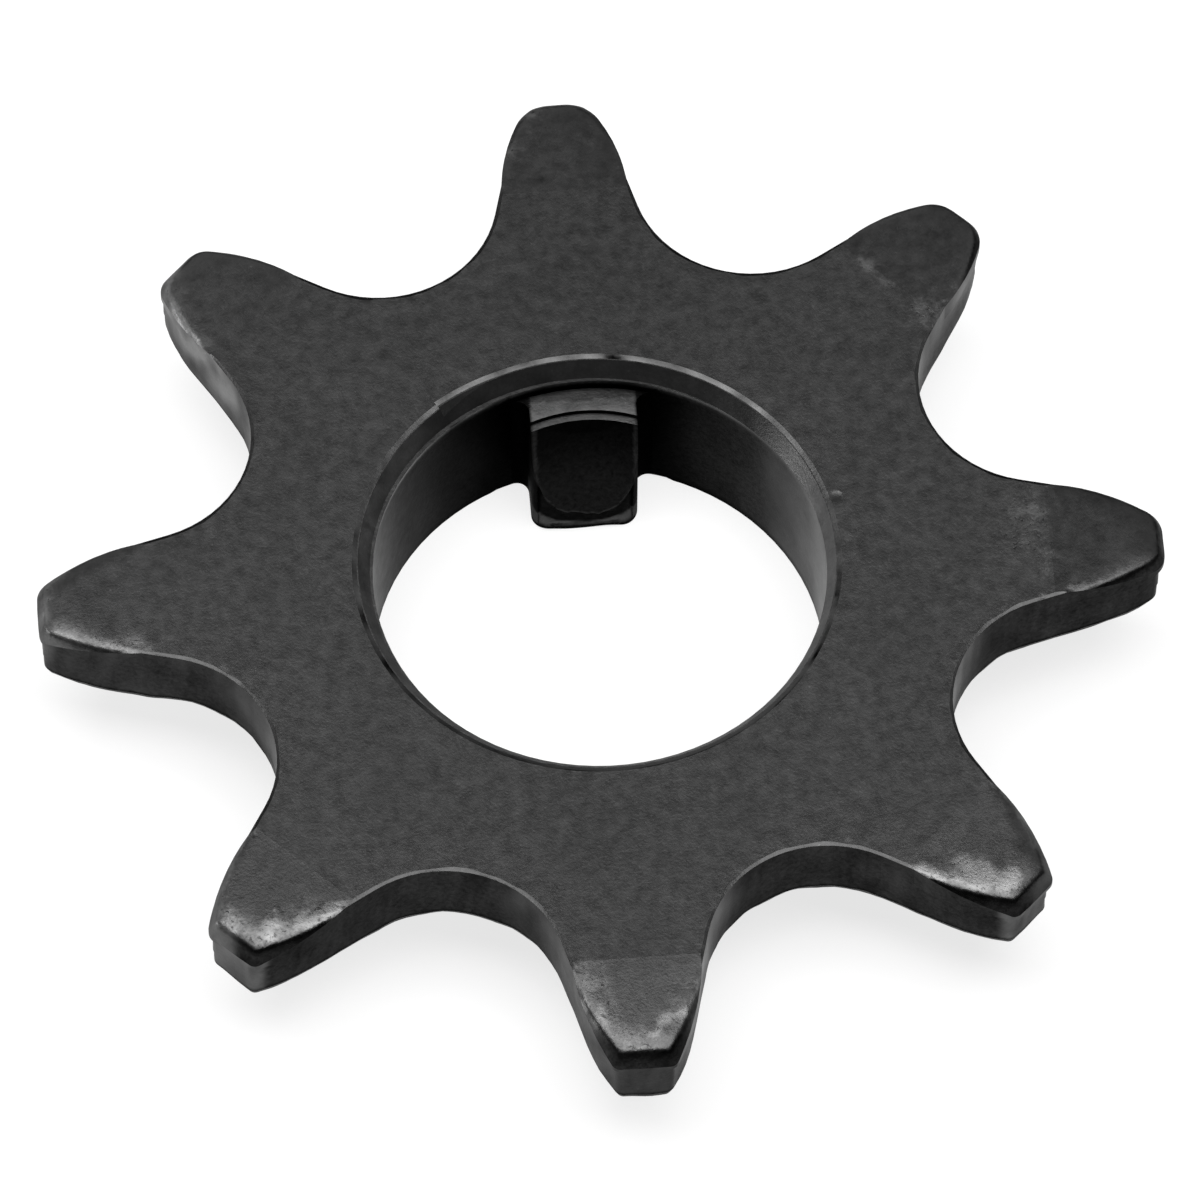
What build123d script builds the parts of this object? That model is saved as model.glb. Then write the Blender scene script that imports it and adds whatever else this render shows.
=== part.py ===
from build123d import *
import math
import os

os.makedirs("parts", exist_ok=True)

# Chain sprocket, one piece of steel: a toothed plate on top of a short collar, bored through,
# with one driving tang standing on the bore wall.  Millimetres, +Z up, the collar's end on z = 0,
# the tooth ring centred on the Z axis, one tooth on +X and the tang under the tooth on +Y.

# ---- chain and teeth -------------------------------------------------------------------------
PITCH = 12.7                 # half-inch chain
TEETH = 8
TOOTH_STEP = 360 / TEETH
PITCH_R = PITCH / 2 / math.sin(math.pi / TEETH)
SEAT_R = 4.05                # roller seat, for a roller of 7.75 to 7.95
SEAT_ANGLE = 52.9            # half the seat, from the root to where the straight flank leaves it
FLANK_LENGTH = 2.54          # straight part of the flank
TOPPING_R = 6.22             # convex part of the flank
TIP_R = 18.77                # tooth tip, on the sheared wall
TIP_CORNER_R = 0.36
FRACTURE_T = 1.0             # lower zone of the wall, where the blanked edge broke away
FRACTURE_STEP = 0.03         # how far it stands back

# ---- plate, collar and bore ------------------------------------------------------------------
HEIGHT = 6.3                 # over plate and collar
PLATE_T = 3.0
COLLAR_R = 10.0
COLLAR_ROOT = 0.6            # filled corner where the collar meets the plate, in two slopes
COLLAR_ROOT_KNEE = 0.18
COLLAR_CHAMFER = 0.4
BORE_R = 7.61
BORE_CENTRE = (0.01, 0.19)   # the bore is a little off the centre of the tooth ring
CUT_OVER = 2.5               # cuts go on this far past the solid
SAME_PLACE = 0.03            # edges and corners are told apart by less than this
MERGE = 0.8                  # and pieces that join run this far into each other
EDGE_BREAK_FACE = 0.11       # worn top edge: its width on the face, and its drop on the wall
EDGE_BREAK_WALL = 0.04
EDGE_BREAK_UNDER = 0.11      # lower edge: its width underneath, and its rise up the wall
EDGE_BREAK_RISE = 0.28

# ---- countersink at the bore's mouth ---------------------------------------------------------
SINK_R = 8.05
SINK_DEPTH = 0.60
SINK_CENTRE = (-0.08, 0.29)
FLAT_R = 8.40                # the mouth is cut again over the tang, a shade off centre
FLAT_CENTRE = (-0.26, -0.14)
FLAT_DEPTH = 0.70
FLAT_LOW_R = 7.66
FLAT_FROM = 67.0
FLAT_TO = 126.0
RIM_WEAR = 0.16              # the mouth's edge is worn to a shallow bevel: its width and drop
RIM_WEAR_DROP = 0.055

# ---- driving tang ----------------------------------------------------------------------------
TANG_W = 3.62
TANG_X = -0.02               # centre line of the tang
TANG_FACE_Y = 5.50           # flat inner face
TANG_TOP_DROP = 1.08         # top of the tang, below the plate's top face
TANG_ROOT_R = 0.42           # fillets against the bore wall
TANG_CORNER_R = 0.6          # upright corners of the inner face
SCOOP_STEP_R = 4.9           # hollow in the inner face: first a step cut straight down
SCOOP_STEP_Y = 6.93
SCOOP_STEP_DROP = 0.205
SCOOP_START_Y = 6.68         # then a tapering hollow that leans inwards and runs out
SCOOP_TOP_R = 4.9
SCOOP_LOW_R = 2.3
SCOOP_LENGTH = 4.0
SCOOP_LEAN = 17.2

# ---- rolled-over tooth tips, values for each tooth from +X on --------------------------------
ROLL_START = 15.1            # where the face starts to fall towards each tip
ROLL_FACET = (0.26, 0.28, 0.26, 0.25, 0.20, 0.18, 0.22, 0.18)   # share of the tip's fall that
                             # the middle of the face takes, evenly
ROLL_EDGE = 0.40             # the same for the flank's edge, which falls faster near the tip
CROWN_SHARE = 0.40           # the rest falls in a wide soft crown and then in a narrow steep edge
CROWN_POWER = 2.0
CROWN_NARROW = 0.12          # width of the crown along the flank, where it starts
CROWN_WIDE = 1.15            # and at the tip
CROWN_TIP_WIDTH = 1.20       # width of the crown across the tip
CROWN_BLEND = 3.0            # how sharply the two crowns meet at the corners
STEEP_POWER = 1.5
STEEP_NARROW = 0.13          # width of the steep edge, where it starts
STEEP_WIDE = (0.26, 0.26, 0.28, 0.28, 0.26, 0.32, 0.42, 0.38)        # and at the tip
STEEP_GROWTH = 2.0           # it widens late
ROLL_ROWS = (-0.13, -0.06, 0.0, 0.05, 0.12, 0.2, 0.3, 0.4, 0.5, 0.6, 0.68, 0.75, 0.81,
             0.86, 0.89, 0.915, 0.94, 0.965, 1.0, 1.04, 1.08)
ROLL_COLUMNS = (0.0, 0.3, 0.5, 0.62, 0.72, 0.8, 0.87, 0.93, 1.0, 1.1, 1.2)
ROLL_FIT = 0.0045
ROLL_DEPTH = (0.80, 0.65, 0.45, 0.65, 0.80, 0.90, 0.85, 0.90)   # fall at the tip
LIP_BAND = 0.16              # upright band of the lip under the rolled face
LIP_R = (18.97, 18.95, 18.86, 18.84, 18.86, 18.84, 18.84, 18.96)
LIP_FLANK_LENGTH = 1.2       # from here on the lip bulges past the straight flank
LIP_BULGE_ANGLE = 9.0
LIP_TOPPING_R = 7.9
LIP_CORNER_R = (0.85, 1.15, 1.40, 0.75, 0.60, 0.42, 0.36, 0.36)
LIP_REACH = 5.0


def polar(radius, degrees):
    a = math.radians(degrees)
    return Vector(radius * math.cos(a), radius * math.sin(a), 0)


# Half of one tooth, its axis along +X: the roller seat's centre, and the way from it to the
# seat's end, where the straight flank leaves it.
seat_centre = polar(PITCH_R, TOOTH_STEP / 2)
SEAT_END_AT = 180 + TOOTH_STEP / 2 + SEAT_ANGLE


def on_arc(centre, radius, first, second):
    """Point of an arc half-way between two of its points."""
    middle = ((first + second) * 0.5 - centre).normalized()
    return centre + middle * radius


def across(point):
    return Vector(point.X, -point.Y, 0)


def flank(flank_length, topping_radius, bulge_angle=0.0, inset=0.0):
    """Ends of a tooth's straight flank, and the centre of the convex arc that follows it."""
    seat_end = seat_centre + polar(SEAT_R + inset, SEAT_END_AT)
    flank_end = seat_end + polar(flank_length, SEAT_END_AT + 90)
    topping_centre = flank_end + polar(topping_radius, SEAT_END_AT + bulge_angle)
    return seat_end, flank_end, topping_centre


def tip_point(centre, arc_radius, tip_radius):
    """Point of the convex arc at the tip's distance from the axis of the wheel."""
    d = centre.length
    lean = math.degrees(math.atan2(centre.Y, centre.X))
    reach = (tip_radius ** 2 + d * d - arc_radius ** 2) / (2 * tip_radius * d)
    return polar(tip_radius, lean + math.degrees(math.acos(reach)))


def tooth_ring(tip_radius, flank_length, topping_radius, bulge_angle=0.0, inset=0.0,
               corner_radius=TIP_CORNER_R):
    """Face of the whole toothed outline, set in by a small distance."""
    topping_r = topping_radius - inset
    tip_r = tip_radius - inset
    seat_end, flank_end, centre = flank(flank_length, topping_r, bulge_angle, inset)
    tip = tip_point(centre, topping_r, tip_r)
    tip_mid = Vector(tip_r, 0, 0)
    topping_mid = on_arc(centre, topping_r, flank_end, tip)
    seat_root = seat_centre + polar(SEAT_R + inset, 180 + TOOTH_STEP / 2)
    next_end = across(seat_end).rotate(Axis.Z, TOOTH_STEP)
    tooth = [
        Line(across(seat_end), across(flank_end)),
        ThreePointArc(across(flank_end), across(topping_mid), across(tip)),
        ThreePointArc(across(tip), tip_mid, tip),
        ThreePointArc(tip, topping_mid, flank_end),
        Line(flank_end, seat_end),
        ThreePointArc(seat_end, seat_root, next_end),
    ]
    edges = []
    for k in range(TEETH):
        for edge in tooth:
            edges.append(edge.rotate(Axis.Z, k * TOOTH_STEP))
    ring = make_face(Curve() + edges)
    corners = [v for v in ring.vertices() if Vector(v).length > tip_r - SAME_PLACE]
    return fillet(corners, corner_radius)


def lip_half_width(x):
    """Half the width over the lip, at a distance along the tooth."""
    seat_end, flank_end, centre = flank(LIP_FLANK_LENGTH, LIP_TOPPING_R, LIP_BULGE_ANGLE)
    if x < flank_end.X:
        return seat_end.Y + (x - seat_end.X) * (flank_end.Y - seat_end.Y) / (flank_end.X - seat_end.X)
    return centre.Y + math.sqrt(max(LIP_TOPPING_R ** 2 - (x - centre.X) ** 2, 0.0))


def off_flank(x, t):
    """Distance from the lip's flank, and the cosine between its direction and the tooth's axis."""
    seat_end, flank_end, centre = flank(LIP_FLANK_LENGTH, LIP_TOPPING_R, LIP_BULGE_ANGLE)
    if x < flank_end.X:
        outwards = polar(1, SEAT_END_AT + 180)
        return (seat_end - Vector(x, abs(t), 0)).dot(outwards), outwards.X
    away = Vector(x, abs(t), 0) - centre
    return LIP_TOPPING_R - away.length, away.X / away.length


def off_lip(to_flank, to_tip, cosine, corner_radius):
    """Distance from the lip's outline, with the corner between flank and tip rounded."""
    u = corner_radius - to_flank
    v = corner_radius - to_tip
    if u > v * cosine and v > u * cosine:
        spread = (u * u + v * v - 2 * u * v * cosine) / (1 - cosine ** 2)
        return corner_radius - math.sqrt(spread)
    return min(to_flank, to_tip)


def fall_off(distance, width, power):
    """1 at the edge, 0 from a width inwards, and going on straight past the edge."""
    if distance < 0:
        return 1 - power * distance / width
    return max(1 - distance / width, 0.0) ** power


def roll_drop(x, t, tooth):
    """How far one tooth's rolled face lies below the plate's face.

    The middle of the face falls in a plain facet.  Along the flanks and the tip it is rounded
    off, in a band that starts narrow at the root and widens towards the tip."""
    reach = (x - ROLL_START) / (LIP_R[tooth] - ROLL_START)
    along = max(reach, 0.0)
    to_flank, cosine = off_flank(x, t)
    to_tip = LIP_R[tooth] - x
    crown_width = CROWN_NARROW + (CROWN_WIDE - CROWN_NARROW) * along
    side_crown = fall_off(to_flank, crown_width, CROWN_POWER)
    tip_crown = fall_off(to_tip, CROWN_TIP_WIDTH, CROWN_POWER)
    crown = (side_crown ** CROWN_BLEND + tip_crown ** CROWN_BLEND) ** (1 / CROWN_BLEND)
    steep_width = STEEP_NARROW + (STEEP_WIDE[tooth] - STEEP_NARROW) * along ** STEEP_GROWTH
    to_lip = off_lip(to_flank, to_tip, cosine, LIP_CORNER_R[tooth])
    steep = fall_off(to_lip, steep_width, STEEP_POWER)
    bend = CROWN_SHARE * crown + (1 - CROWN_SHARE) * steep
    middle = ROLL_FACET[tooth] * reach
    edge = reach * (ROLL_EDGE + (1 - ROLL_EDGE) * along)
    return ROLL_DEPTH[tooth] * (middle + (edge - middle) * bend)


def roll_cutter(tooth):
    """Everything above one tooth's rolled face, for a tooth along +X."""
    sides = [-u for u in reversed(ROLL_COLUMNS[1:])] + list(ROLL_COLUMNS)
    rows = []
    for reach in ROLL_ROWS:
        x = ROLL_START + reach * (LIP_R[tooth] - ROLL_START)
        half = lip_half_width(min(x, LIP_R[tooth]))
        rows.append([Vector(x, u * half, HEIGHT - roll_drop(x, u * half, tooth)) for u in sides])
    skin = Face.make_surface_from_array_of_points(rows, tol=ROLL_FIT, min_deg=3, max_deg=3)
    return extrude(skin, amount=CUT_OVER, dir=(0, 0, 1))


# ---- toothed plate ---------------------------------------------------------------------------
broken_zone = extrude(tooth_ring(TIP_R, FLANK_LENGTH, TOPPING_R, inset=FRACTURE_STEP), FRACTURE_T)
under_face = broken_zone.faces().sort_by(Axis.Z)[0]
under_edges = under_face.outer_wire().edges()
broken_zone = chamfer(under_edges, EDGE_BREAK_UNDER, EDGE_BREAK_RISE, reference=under_face)
sheared_zone = extrude(tooth_ring(TIP_R, FLANK_LENGTH, TOPPING_R), PLATE_T - FRACTURE_T)
top_face = sheared_zone.faces().sort_by(Axis.Z)[-1]
top_edges = top_face.outer_wire().edges()
sheared_zone = chamfer(top_edges, EDGE_BREAK_FACE, EDGE_BREAK_WALL, reference=top_face)
plate = Pos(0, 0, HEIGHT - PLATE_T) * broken_zone
plate += Pos(0, 0, HEIGHT - PLATE_T + FRACTURE_T) * sheared_zone

# Nearer the root than the bulge the rolled face is no lower than the worn edge.
lip_start = flank(LIP_FLANK_LENGTH, LIP_TOPPING_R)[1].X
for k in range(TEETH):
    lip_height = ROLL_DEPTH[k] + LIP_BAND
    lip_ring = tooth_ring(LIP_R[k], LIP_FLANK_LENGTH, LIP_TOPPING_R, LIP_BULGE_ANGLE,
                          corner_radius=LIP_CORNER_R[k])
    lip = Pos(0, 0, HEIGHT - lip_height) * extrude(lip_ring, lip_height)
    lip_room = Box(LIP_REACH, PITCH, HEIGHT, align=(Align.MIN, Align.CENTER, Align.CENTER))
    lip_room = Pos(lip_start, 0, HEIGHT) * lip_room
    plate += lip & lip_room.rotate(Axis.Z, k * TOOTH_STEP)

for k in range(TEETH):
    plate -= roll_cutter(k).rotate(Axis.Z, k * TOOTH_STEP)

# ---- collar, bore and countersink ------------------------------------------------------------
bore_x, bore_y = BORE_CENTRE
plate_z = HEIGHT - PLATE_T
collar_profile = Polygon(
    (0, 0),
    (COLLAR_R - COLLAR_CHAMFER, 0),
    (COLLAR_R, COLLAR_CHAMFER),
    (COLLAR_R, plate_z - COLLAR_ROOT),
    (COLLAR_R + COLLAR_ROOT_KNEE, plate_z - COLLAR_ROOT_KNEE),
    (COLLAR_R + COLLAR_ROOT, plate_z),
    (COLLAR_R + COLLAR_ROOT, plate_z + MERGE),
    (0, plate_z + MERGE),
    align=None,
)
collar = revolve(Plane.XZ * collar_profile, Axis.Z)
body = plate + Pos(bore_x, bore_y, 0) * collar
body -= Pos(bore_x, bore_y, 0) * Cylinder(BORE_R, 3 * HEIGHT)


def mouth_cone(centre, radius, depth, low_radius):
    """Conical cut that opens to a radius at the plate's top face, with the worn edge round it."""
    spread = (radius - low_radius) / depth
    cone = Cone(low_radius, radius + CUT_OVER * spread, depth + CUT_OVER)
    cone = Pos(centre[0], centre[1], HEIGHT + (CUT_OVER - depth) / 2) * cone
    wear = Cone(radius, radius + 2 * RIM_WEAR, 2 * RIM_WEAR_DROP)
    return cone + Pos(centre[0], centre[1], HEIGHT) * wear


body -= mouth_cone(SINK_CENTRE, SINK_R, SINK_DEPTH, BORE_R)

flat_from = polar(PITCH_R, FLAT_FROM)
flat_to = polar(PITCH_R, FLAT_TO)
flat_sector = Polygon((0, 0), (flat_from.X, flat_from.Y), (flat_to.X, flat_to.Y), align=None)
flat_room = extrude(flat_sector, amount=HEIGHT + CUT_OVER)
body -= mouth_cone(FLAT_CENTRE, FLAT_R, FLAT_DEPTH, FLAT_LOW_R) & flat_room

# ---- driving tang ----------------------------------------------------------------------------
tang_top = HEIGHT - TANG_TOP_DROP
wall_y = bore_y + math.sqrt(BORE_R ** 2 - (TANG_W / 2) ** 2)
tang_back = wall_y + MERGE
tang = Box(TANG_W, tang_back - TANG_FACE_Y, tang_top, align=(Align.CENTER, Align.MIN, Align.MIN))
tang = Pos(TANG_X, TANG_FACE_Y, 0) * tang
front_corners = tang.edges().filter_by(Axis.Z).sort_by(Axis.Y)[:2]
tang = fillet(front_corners, TANG_CORNER_R)
body += tang

root_edges = []
for edge in body.edges().filter_by(Axis.Z):
    at = edge.center()
    off_side = abs(abs(at.X - TANG_X) - TANG_W / 2)
    off_wall = abs(math.hypot(at.X - bore_x, at.Y - bore_y) - BORE_R)
    if off_side < SAME_PLACE and off_wall < SAME_PLACE:
        root_edges.append(edge)
body = fillet(root_edges, TANG_ROOT_R)

# The scoop: one step straight down, then a hollow leaning inwards to run out on the flat face.
# The hollow's back line starts at the step and leans inwards all the way down, while its radius
# shrinks, so the cone's own axis leans by the angle of its taper more.
scoop_z = HEIGHT - TANG_TOP_DROP - SCOOP_STEP_DROP
step = Pos(TANG_X, SCOOP_STEP_Y - SCOOP_STEP_R, scoop_z)
body -= step * Cylinder(SCOOP_STEP_R, CUT_OVER, align=(Align.CENTER, Align.CENTER, Align.MIN))
taper = math.atan((SCOOP_TOP_R - SCOOP_LOW_R) / SCOOP_LENGTH)
lean = math.radians(SCOOP_LEAN) - taper
back_start = Vector(TANG_X, SCOOP_START_Y, scoop_z)
scoop_axis = back_start + Vector(0, -math.cos(lean), math.sin(lean)) * SCOOP_TOP_R
scoop_plane = Plane(origin=scoop_axis, x_dir=(1, 0, 0), z_dir=(0, -math.sin(lean), -math.cos(lean)))
scoop = Cone(SCOOP_TOP_R, SCOOP_LOW_R, SCOOP_LENGTH, align=(Align.CENTER, Align.CENTER, Align.MIN))
above = Cylinder(SCOOP_TOP_R, CUT_OVER, align=(Align.CENTER, Align.CENTER, Align.MAX))
body -= scoop_plane * (scoop + above)

sprocket = body.solids().sort_by(SortBy.VOLUME)[-1]
sprocket.label = "sprocket"
export_step(sprocket, "parts/sprocket.step")
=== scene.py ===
# The chain sprocket dressed for the camera: the frame's solid is carried over as one dense skin
# with the wear modelled into it, in a procedural steel with painted light and shade, on a white studio
# floor.
import math
from types import SimpleNamespace

import bpy
import numpy as np
from mathutils import Matrix, Vector, kdtree
from mathutils.geometry import delaunay_2d_cdt


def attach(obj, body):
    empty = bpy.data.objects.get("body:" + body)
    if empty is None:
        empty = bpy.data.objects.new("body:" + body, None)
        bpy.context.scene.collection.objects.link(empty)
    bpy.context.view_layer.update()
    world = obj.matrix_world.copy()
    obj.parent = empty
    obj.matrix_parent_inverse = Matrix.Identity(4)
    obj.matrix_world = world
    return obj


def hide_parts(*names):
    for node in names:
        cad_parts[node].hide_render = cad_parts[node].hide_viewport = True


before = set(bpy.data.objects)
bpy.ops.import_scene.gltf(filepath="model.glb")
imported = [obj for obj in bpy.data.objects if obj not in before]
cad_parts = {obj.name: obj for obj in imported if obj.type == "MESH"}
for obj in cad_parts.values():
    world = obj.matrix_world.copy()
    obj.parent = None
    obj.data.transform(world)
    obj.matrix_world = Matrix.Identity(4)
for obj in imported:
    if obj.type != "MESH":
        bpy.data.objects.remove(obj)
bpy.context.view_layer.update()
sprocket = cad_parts["sprocket"]

MM = 0.001

# ---------------------------------------------------------------- places on the part
# The skin is worked out in millimetres.  A tooth is named by its number, anticlockwise from +X,
# and a place on it by how far out along its middle line and how far across it lies.
FACE_Z = round(max(corner.co.z for corner in sprocket.data.vertices) / MM, 4)
PLATE_T = 3.0
UNDER_Z = FACE_Z - PLATE_T
FOOT_Z = 0.0
TEETH = 8
TOOTH_STEP = 360 / TEETH
TANG_TOOTH = 2               # the tang stands under this tooth
COLLAR_REACH = 10.8          # the collar and its filled corner end inside this radius
BORE_REACH = 8.6             # the bore and its mouth end inside this one
BORE_CENTRE = (0.01, 0.19)
MOUTH_Z = 5.6                # the countersink starts about here
ROLL_START = 15.1            # where the face starts to fall towards each tip
TANG_HALF = 1.82             # half of the tang's width, and a hair more
TANG_WINGS = 2.6             # its root fillets end inside this
TANG_FRONT_Y = 5.5
TANG_TOP_Z = 5.4             # its top lies below this
TANG_BREAK_Z = 0.75          # its front broke away below a bowed ledge, lowest in the middle
TANG_BREAK_BEND = 0.62

# ---------------------------------------------------------------- camera
# A long lens half a metre off, looking down at the plate from the side away from the tang.
CAMERA_TURN = math.radians(-5.0857)
CAMERA_TILT = math.radians(31.4315)
CAMERA_ROLL = math.radians(0.5851)
CAMERA_OFFSET = Vector((-0.0047, -1.0684, 515.371)) * MM
SENSOR = 36.0
LENS = 462.26
NEAR, FAR = 0.01, 20.0


def add_camera():
    data = bpy.data.cameras.new("camera")
    data.sensor_width = SENSOR
    data.lens = LENS
    data.clip_start = NEAR
    data.clip_end = FAR
    data.dof.use_dof = False
    camera = bpy.data.objects.new("camera", data)
    bpy.context.scene.collection.objects.link(camera)
    turn = (
        Matrix.Rotation(CAMERA_TURN, 4, "Z")
        @ Matrix.Rotation(CAMERA_TILT, 4, "X")
        @ Matrix.Rotation(CAMERA_ROLL, 4, "Z")
    )
    place = Vector((0, 0, FACE_Z * MM)) + turn @ CAMERA_OFFSET
    camera.matrix_world = Matrix.Translation(place) @ turn
    bpy.context.scene.camera = camera


# ---------------------------------------------------------------- lights
LAMPS = (                    # name, azimuth, elevation, distance, width, height, radiance, spin
    ("lamp_ceiling", 262, 88.5, 0.8, 0.96, 0.52, 5.5, -10),
    ("lamp_back", 118, 28, 0.9, 1.3, 0.62, 0.6, 0),
    ("lamp_left", 178, 14, 0.9, 0.4, 0.3, 3.5, 0),
    ("lamp_right", 38, 34, 0.9, 0.8, 0.6, 0.5, 0),
)


def add_lamp(name, azimuth, elevation, distance, width, height, radiance, spin):
    """A soft rectangular lamp that faces the part; radiance is how bright its surface looks."""
    data = bpy.data.lights.new(name, "AREA")
    data.shape = "RECTANGLE"
    data.size = width
    data.size_y = height
    data.energy = radiance * math.pi * width * height
    lamp = bpy.data.objects.new(name, data)
    bpy.context.scene.collection.objects.link(lamp)
    az, el = math.radians(azimuth), math.radians(elevation)
    way = Vector((math.cos(el) * math.cos(az), math.cos(el) * math.sin(az), math.sin(el)))
    turn = way.to_track_quat("Z", "Y").to_matrix().to_4x4()
    roll = Matrix.Rotation(math.radians(spin), 4, "Z")
    lamp.matrix_world = Matrix.Translation(way * distance) @ turn @ roll


# ---------------------------------------------------------------- node helpers
class Nodes:
    """Small helper that adds shader nodes to one material."""

    def __init__(self, material):
        material.use_nodes = True
        self.tree = material.node_tree
        self.tree.nodes.clear()

    def add(self, kind, **settings):
        node = self.tree.nodes.new(kind)
        for key, value in settings.items():
            setattr(node, key, value)
        return node

    def put(self, socket, value):
        if isinstance(value, bpy.types.NodeSocket):
            self.tree.links.new(value, socket)
        else:
            socket.default_value = value

    def math(self, operation, a, b=None, c=None, clamp=False):
        node = self.add("ShaderNodeMath", operation=operation, use_clamp=clamp)
        for socket, value in zip(node.inputs, (a, b, c)):
            if value is not None:
                self.put(socket, value)
        return node.outputs[0]

    def ramp(self, value, low, high, to_low=0.0, to_high=1.0, kind="SMOOTHSTEP"):
        node = self.add("ShaderNodeMapRange", interpolation_type=kind)
        sockets = ("Value", "From Min", "From Max", "To Min", "To Max")
        for key, item in zip(sockets, (value, low, high, to_low, to_high)):
            self.put(node.inputs[key], item)
        return node.outputs["Result"]

    def noise(self, vector, scale, detail, roughness, distortion=0.0):
        node = self.add("ShaderNodeTexNoise")
        self.put(node.inputs["Vector"], vector)
        node.inputs["Scale"].default_value = scale
        node.inputs["Detail"].default_value = detail
        node.inputs["Roughness"].default_value = roughness
        node.inputs["Distortion"].default_value = distortion
        return node.outputs["Fac"]

    def centred(self, value, strength):
        """A noise value moved to run about zero, times strength."""
        return self.math("MULTIPLY", self.math("SUBTRACT", value, 0.5), strength)

    def attribute(self, name):
        return self.add("ShaderNodeAttribute", attribute_name=name).outputs["Fac"]


def grey(value):
    return (value, value, value, 1.0)


# ---------------------------------------------------------------- floor and world
FLOOR_HALF = 3.0
FLOOR_Z = -0.01 * MM         # a hair under the foot, so that the two never share a plane
FLOOR_GREY = 0.3
FLOOR_GLOW = 0.75            # only where the camera, a reflection or a refraction sees the floor
WORLD_FILL = 0.12


def floor_material():
    material = bpy.data.materials.new("floor_white")
    n = Nodes(material)
    out = n.add("ShaderNodeOutputMaterial")
    diffuse = n.add("ShaderNodeBsdfDiffuse")
    diffuse.inputs["Color"].default_value = grey(FLOOR_GREY)
    glow = n.add("ShaderNodeEmission")
    glow.inputs["Color"].default_value = grey(1.0)
    path = n.add("ShaderNodeLightPath")
    seen = n.math("MAXIMUM", path.outputs["Is Camera Ray"], path.outputs["Is Glossy Ray"])
    seen = n.math("MAXIMUM", seen, path.outputs["Is Transmission Ray"])
    n.put(glow.inputs["Strength"], n.math("MULTIPLY", seen, FLOOR_GLOW))
    both = n.add("ShaderNodeAddShader")
    n.put(both.inputs[0], diffuse.outputs[0])
    n.put(both.inputs[1], glow.outputs[0])
    n.put(out.inputs["Surface"], both.outputs[0])
    return material


def add_floor():
    mesh = bpy.data.meshes.new("floor")
    corners = [(x * FLOOR_HALF, y * FLOOR_HALF, FLOOR_Z) for x, y in ((-1, -1), (1, -1), (1, 1), (-1, 1))]
    mesh.from_pydata(corners, [], [(0, 1, 2, 3)])
    floor = bpy.data.objects.new("floor", mesh)
    bpy.context.scene.collection.objects.link(floor)
    mesh.materials.append(floor_material())


def set_world():
    """White behind the floor for the camera, and a low even fill for everything else."""
    world = bpy.data.worlds.new("studio")
    bpy.context.scene.world = world
    world.use_nodes = True
    tree = world.node_tree
    tree.nodes.clear()
    out = tree.nodes.new("ShaderNodeOutputWorld")
    fill = tree.nodes.new("ShaderNodeBackground")
    fill.inputs["Color"].default_value = grey(1.0)
    fill.inputs["Strength"].default_value = WORLD_FILL
    white = tree.nodes.new("ShaderNodeBackground")
    white.inputs["Color"].default_value = grey(1.0)
    path = tree.nodes.new("ShaderNodeLightPath")
    mix = tree.nodes.new("ShaderNodeMixShader")
    tree.links.new(path.outputs["Is Camera Ray"], mix.inputs[0])
    tree.links.new(fill.outputs[0], mix.inputs[1])
    tree.links.new(white.outputs[0], mix.inputs[2])
    tree.links.new(mix.outputs[0], out.inputs["Surface"])


# ---------------------------------------------------------------- small maths
def unit(vectors):
    return vectors / np.maximum(np.linalg.norm(vectors, axis=-1, keepdims=True), 1e-12)


def smooth(values, low, high):
    """0 below low, 1 above high, and a smooth step between."""
    t = np.clip((values - low) / (high - low), 0, 1)
    return t * t * (3 - 2 * t)


def between(values, low, high, soft):
    """1 from low to high, falling off softly outside."""
    return smooth(values, low - soft, low) * (1 - smooth(values, high, high + soft))


def bump_at(u, v, half_u, half_v):
    """A round hump: 1 in its middle, falling off over the two half sizes."""
    return np.exp(-((u / half_u) ** 2 + (v / half_v) ** 2))


WAVES = 14
UPRIGHT_STREAKS = (1, 1, 0.2)  # stretches a random field along Z


def wobble(points, wavelength, seed):
    """A smooth random field, mostly between -1 and 1."""
    rng = np.random.default_rng(seed)
    way = unit(rng.normal(size=(WAVES, 3))) * 2 * math.pi
    way /= wavelength * rng.uniform(0.7, 1.6, (WAVES, 1))
    phase = rng.uniform(0, 2 * math.pi, WAVES)
    return np.sin(points @ way.T + phase).sum(axis=1) / math.sqrt(WAVES)


def tooth_place(points):
    """The tooth each point belongs to, and how far out and across it lies there."""
    angle = np.degrees(np.arctan2(points[:, 1], points[:, 0])) % 360
    tooth = np.round(angle / TOOTH_STEP).astype(int) % TEETH
    turn = np.radians(tooth * TOOTH_STEP)
    out = points[:, 0] * np.cos(turn) + points[:, 1] * np.sin(turn)
    across = points[:, 1] * np.cos(turn) - points[:, 0] * np.sin(turn)
    return tooth, out, across


# ---------------------------------------------------------------- dense mesh from the solid
ROUND_TO = 4                 # decimals that tell two corners of the frame's mesh apart
ON_PLANE = 2e-4
LEVEL = 0.99995              # a face whose normal rises more than this is flat
UPRIGHT = 0.15               # and one that rises less than this is a wall
MOST_HALVINGS = 12
COLLAR_EDGE = 0.60           # the longest triangle edges, by where they lie
WALL_EDGE = 0.26
TIP_EDGE = 0.16
MOUTH_EDGE = 0.28
BORE_EDGE = 0.42
TANG_EDGE = 0.17
PLAN_REACH = 19.2
SPOTS_AT_ONCE = 2000
# Flat faces are filled anew: height, whether it looks up, and lattices of spots, each with its
# spacing and how near and how far from the face's border it lies.
FLAT_FACES = (
    (FACE_Z, True, ((0.14, 0.1, 0.42), (0.46, 0.46, 99))),
    (UNDER_Z, False, ((0.6, 0.35, 99),)),
    (FOOT_Z, False, ((0.6, 0.35, 99),)),
)


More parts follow.
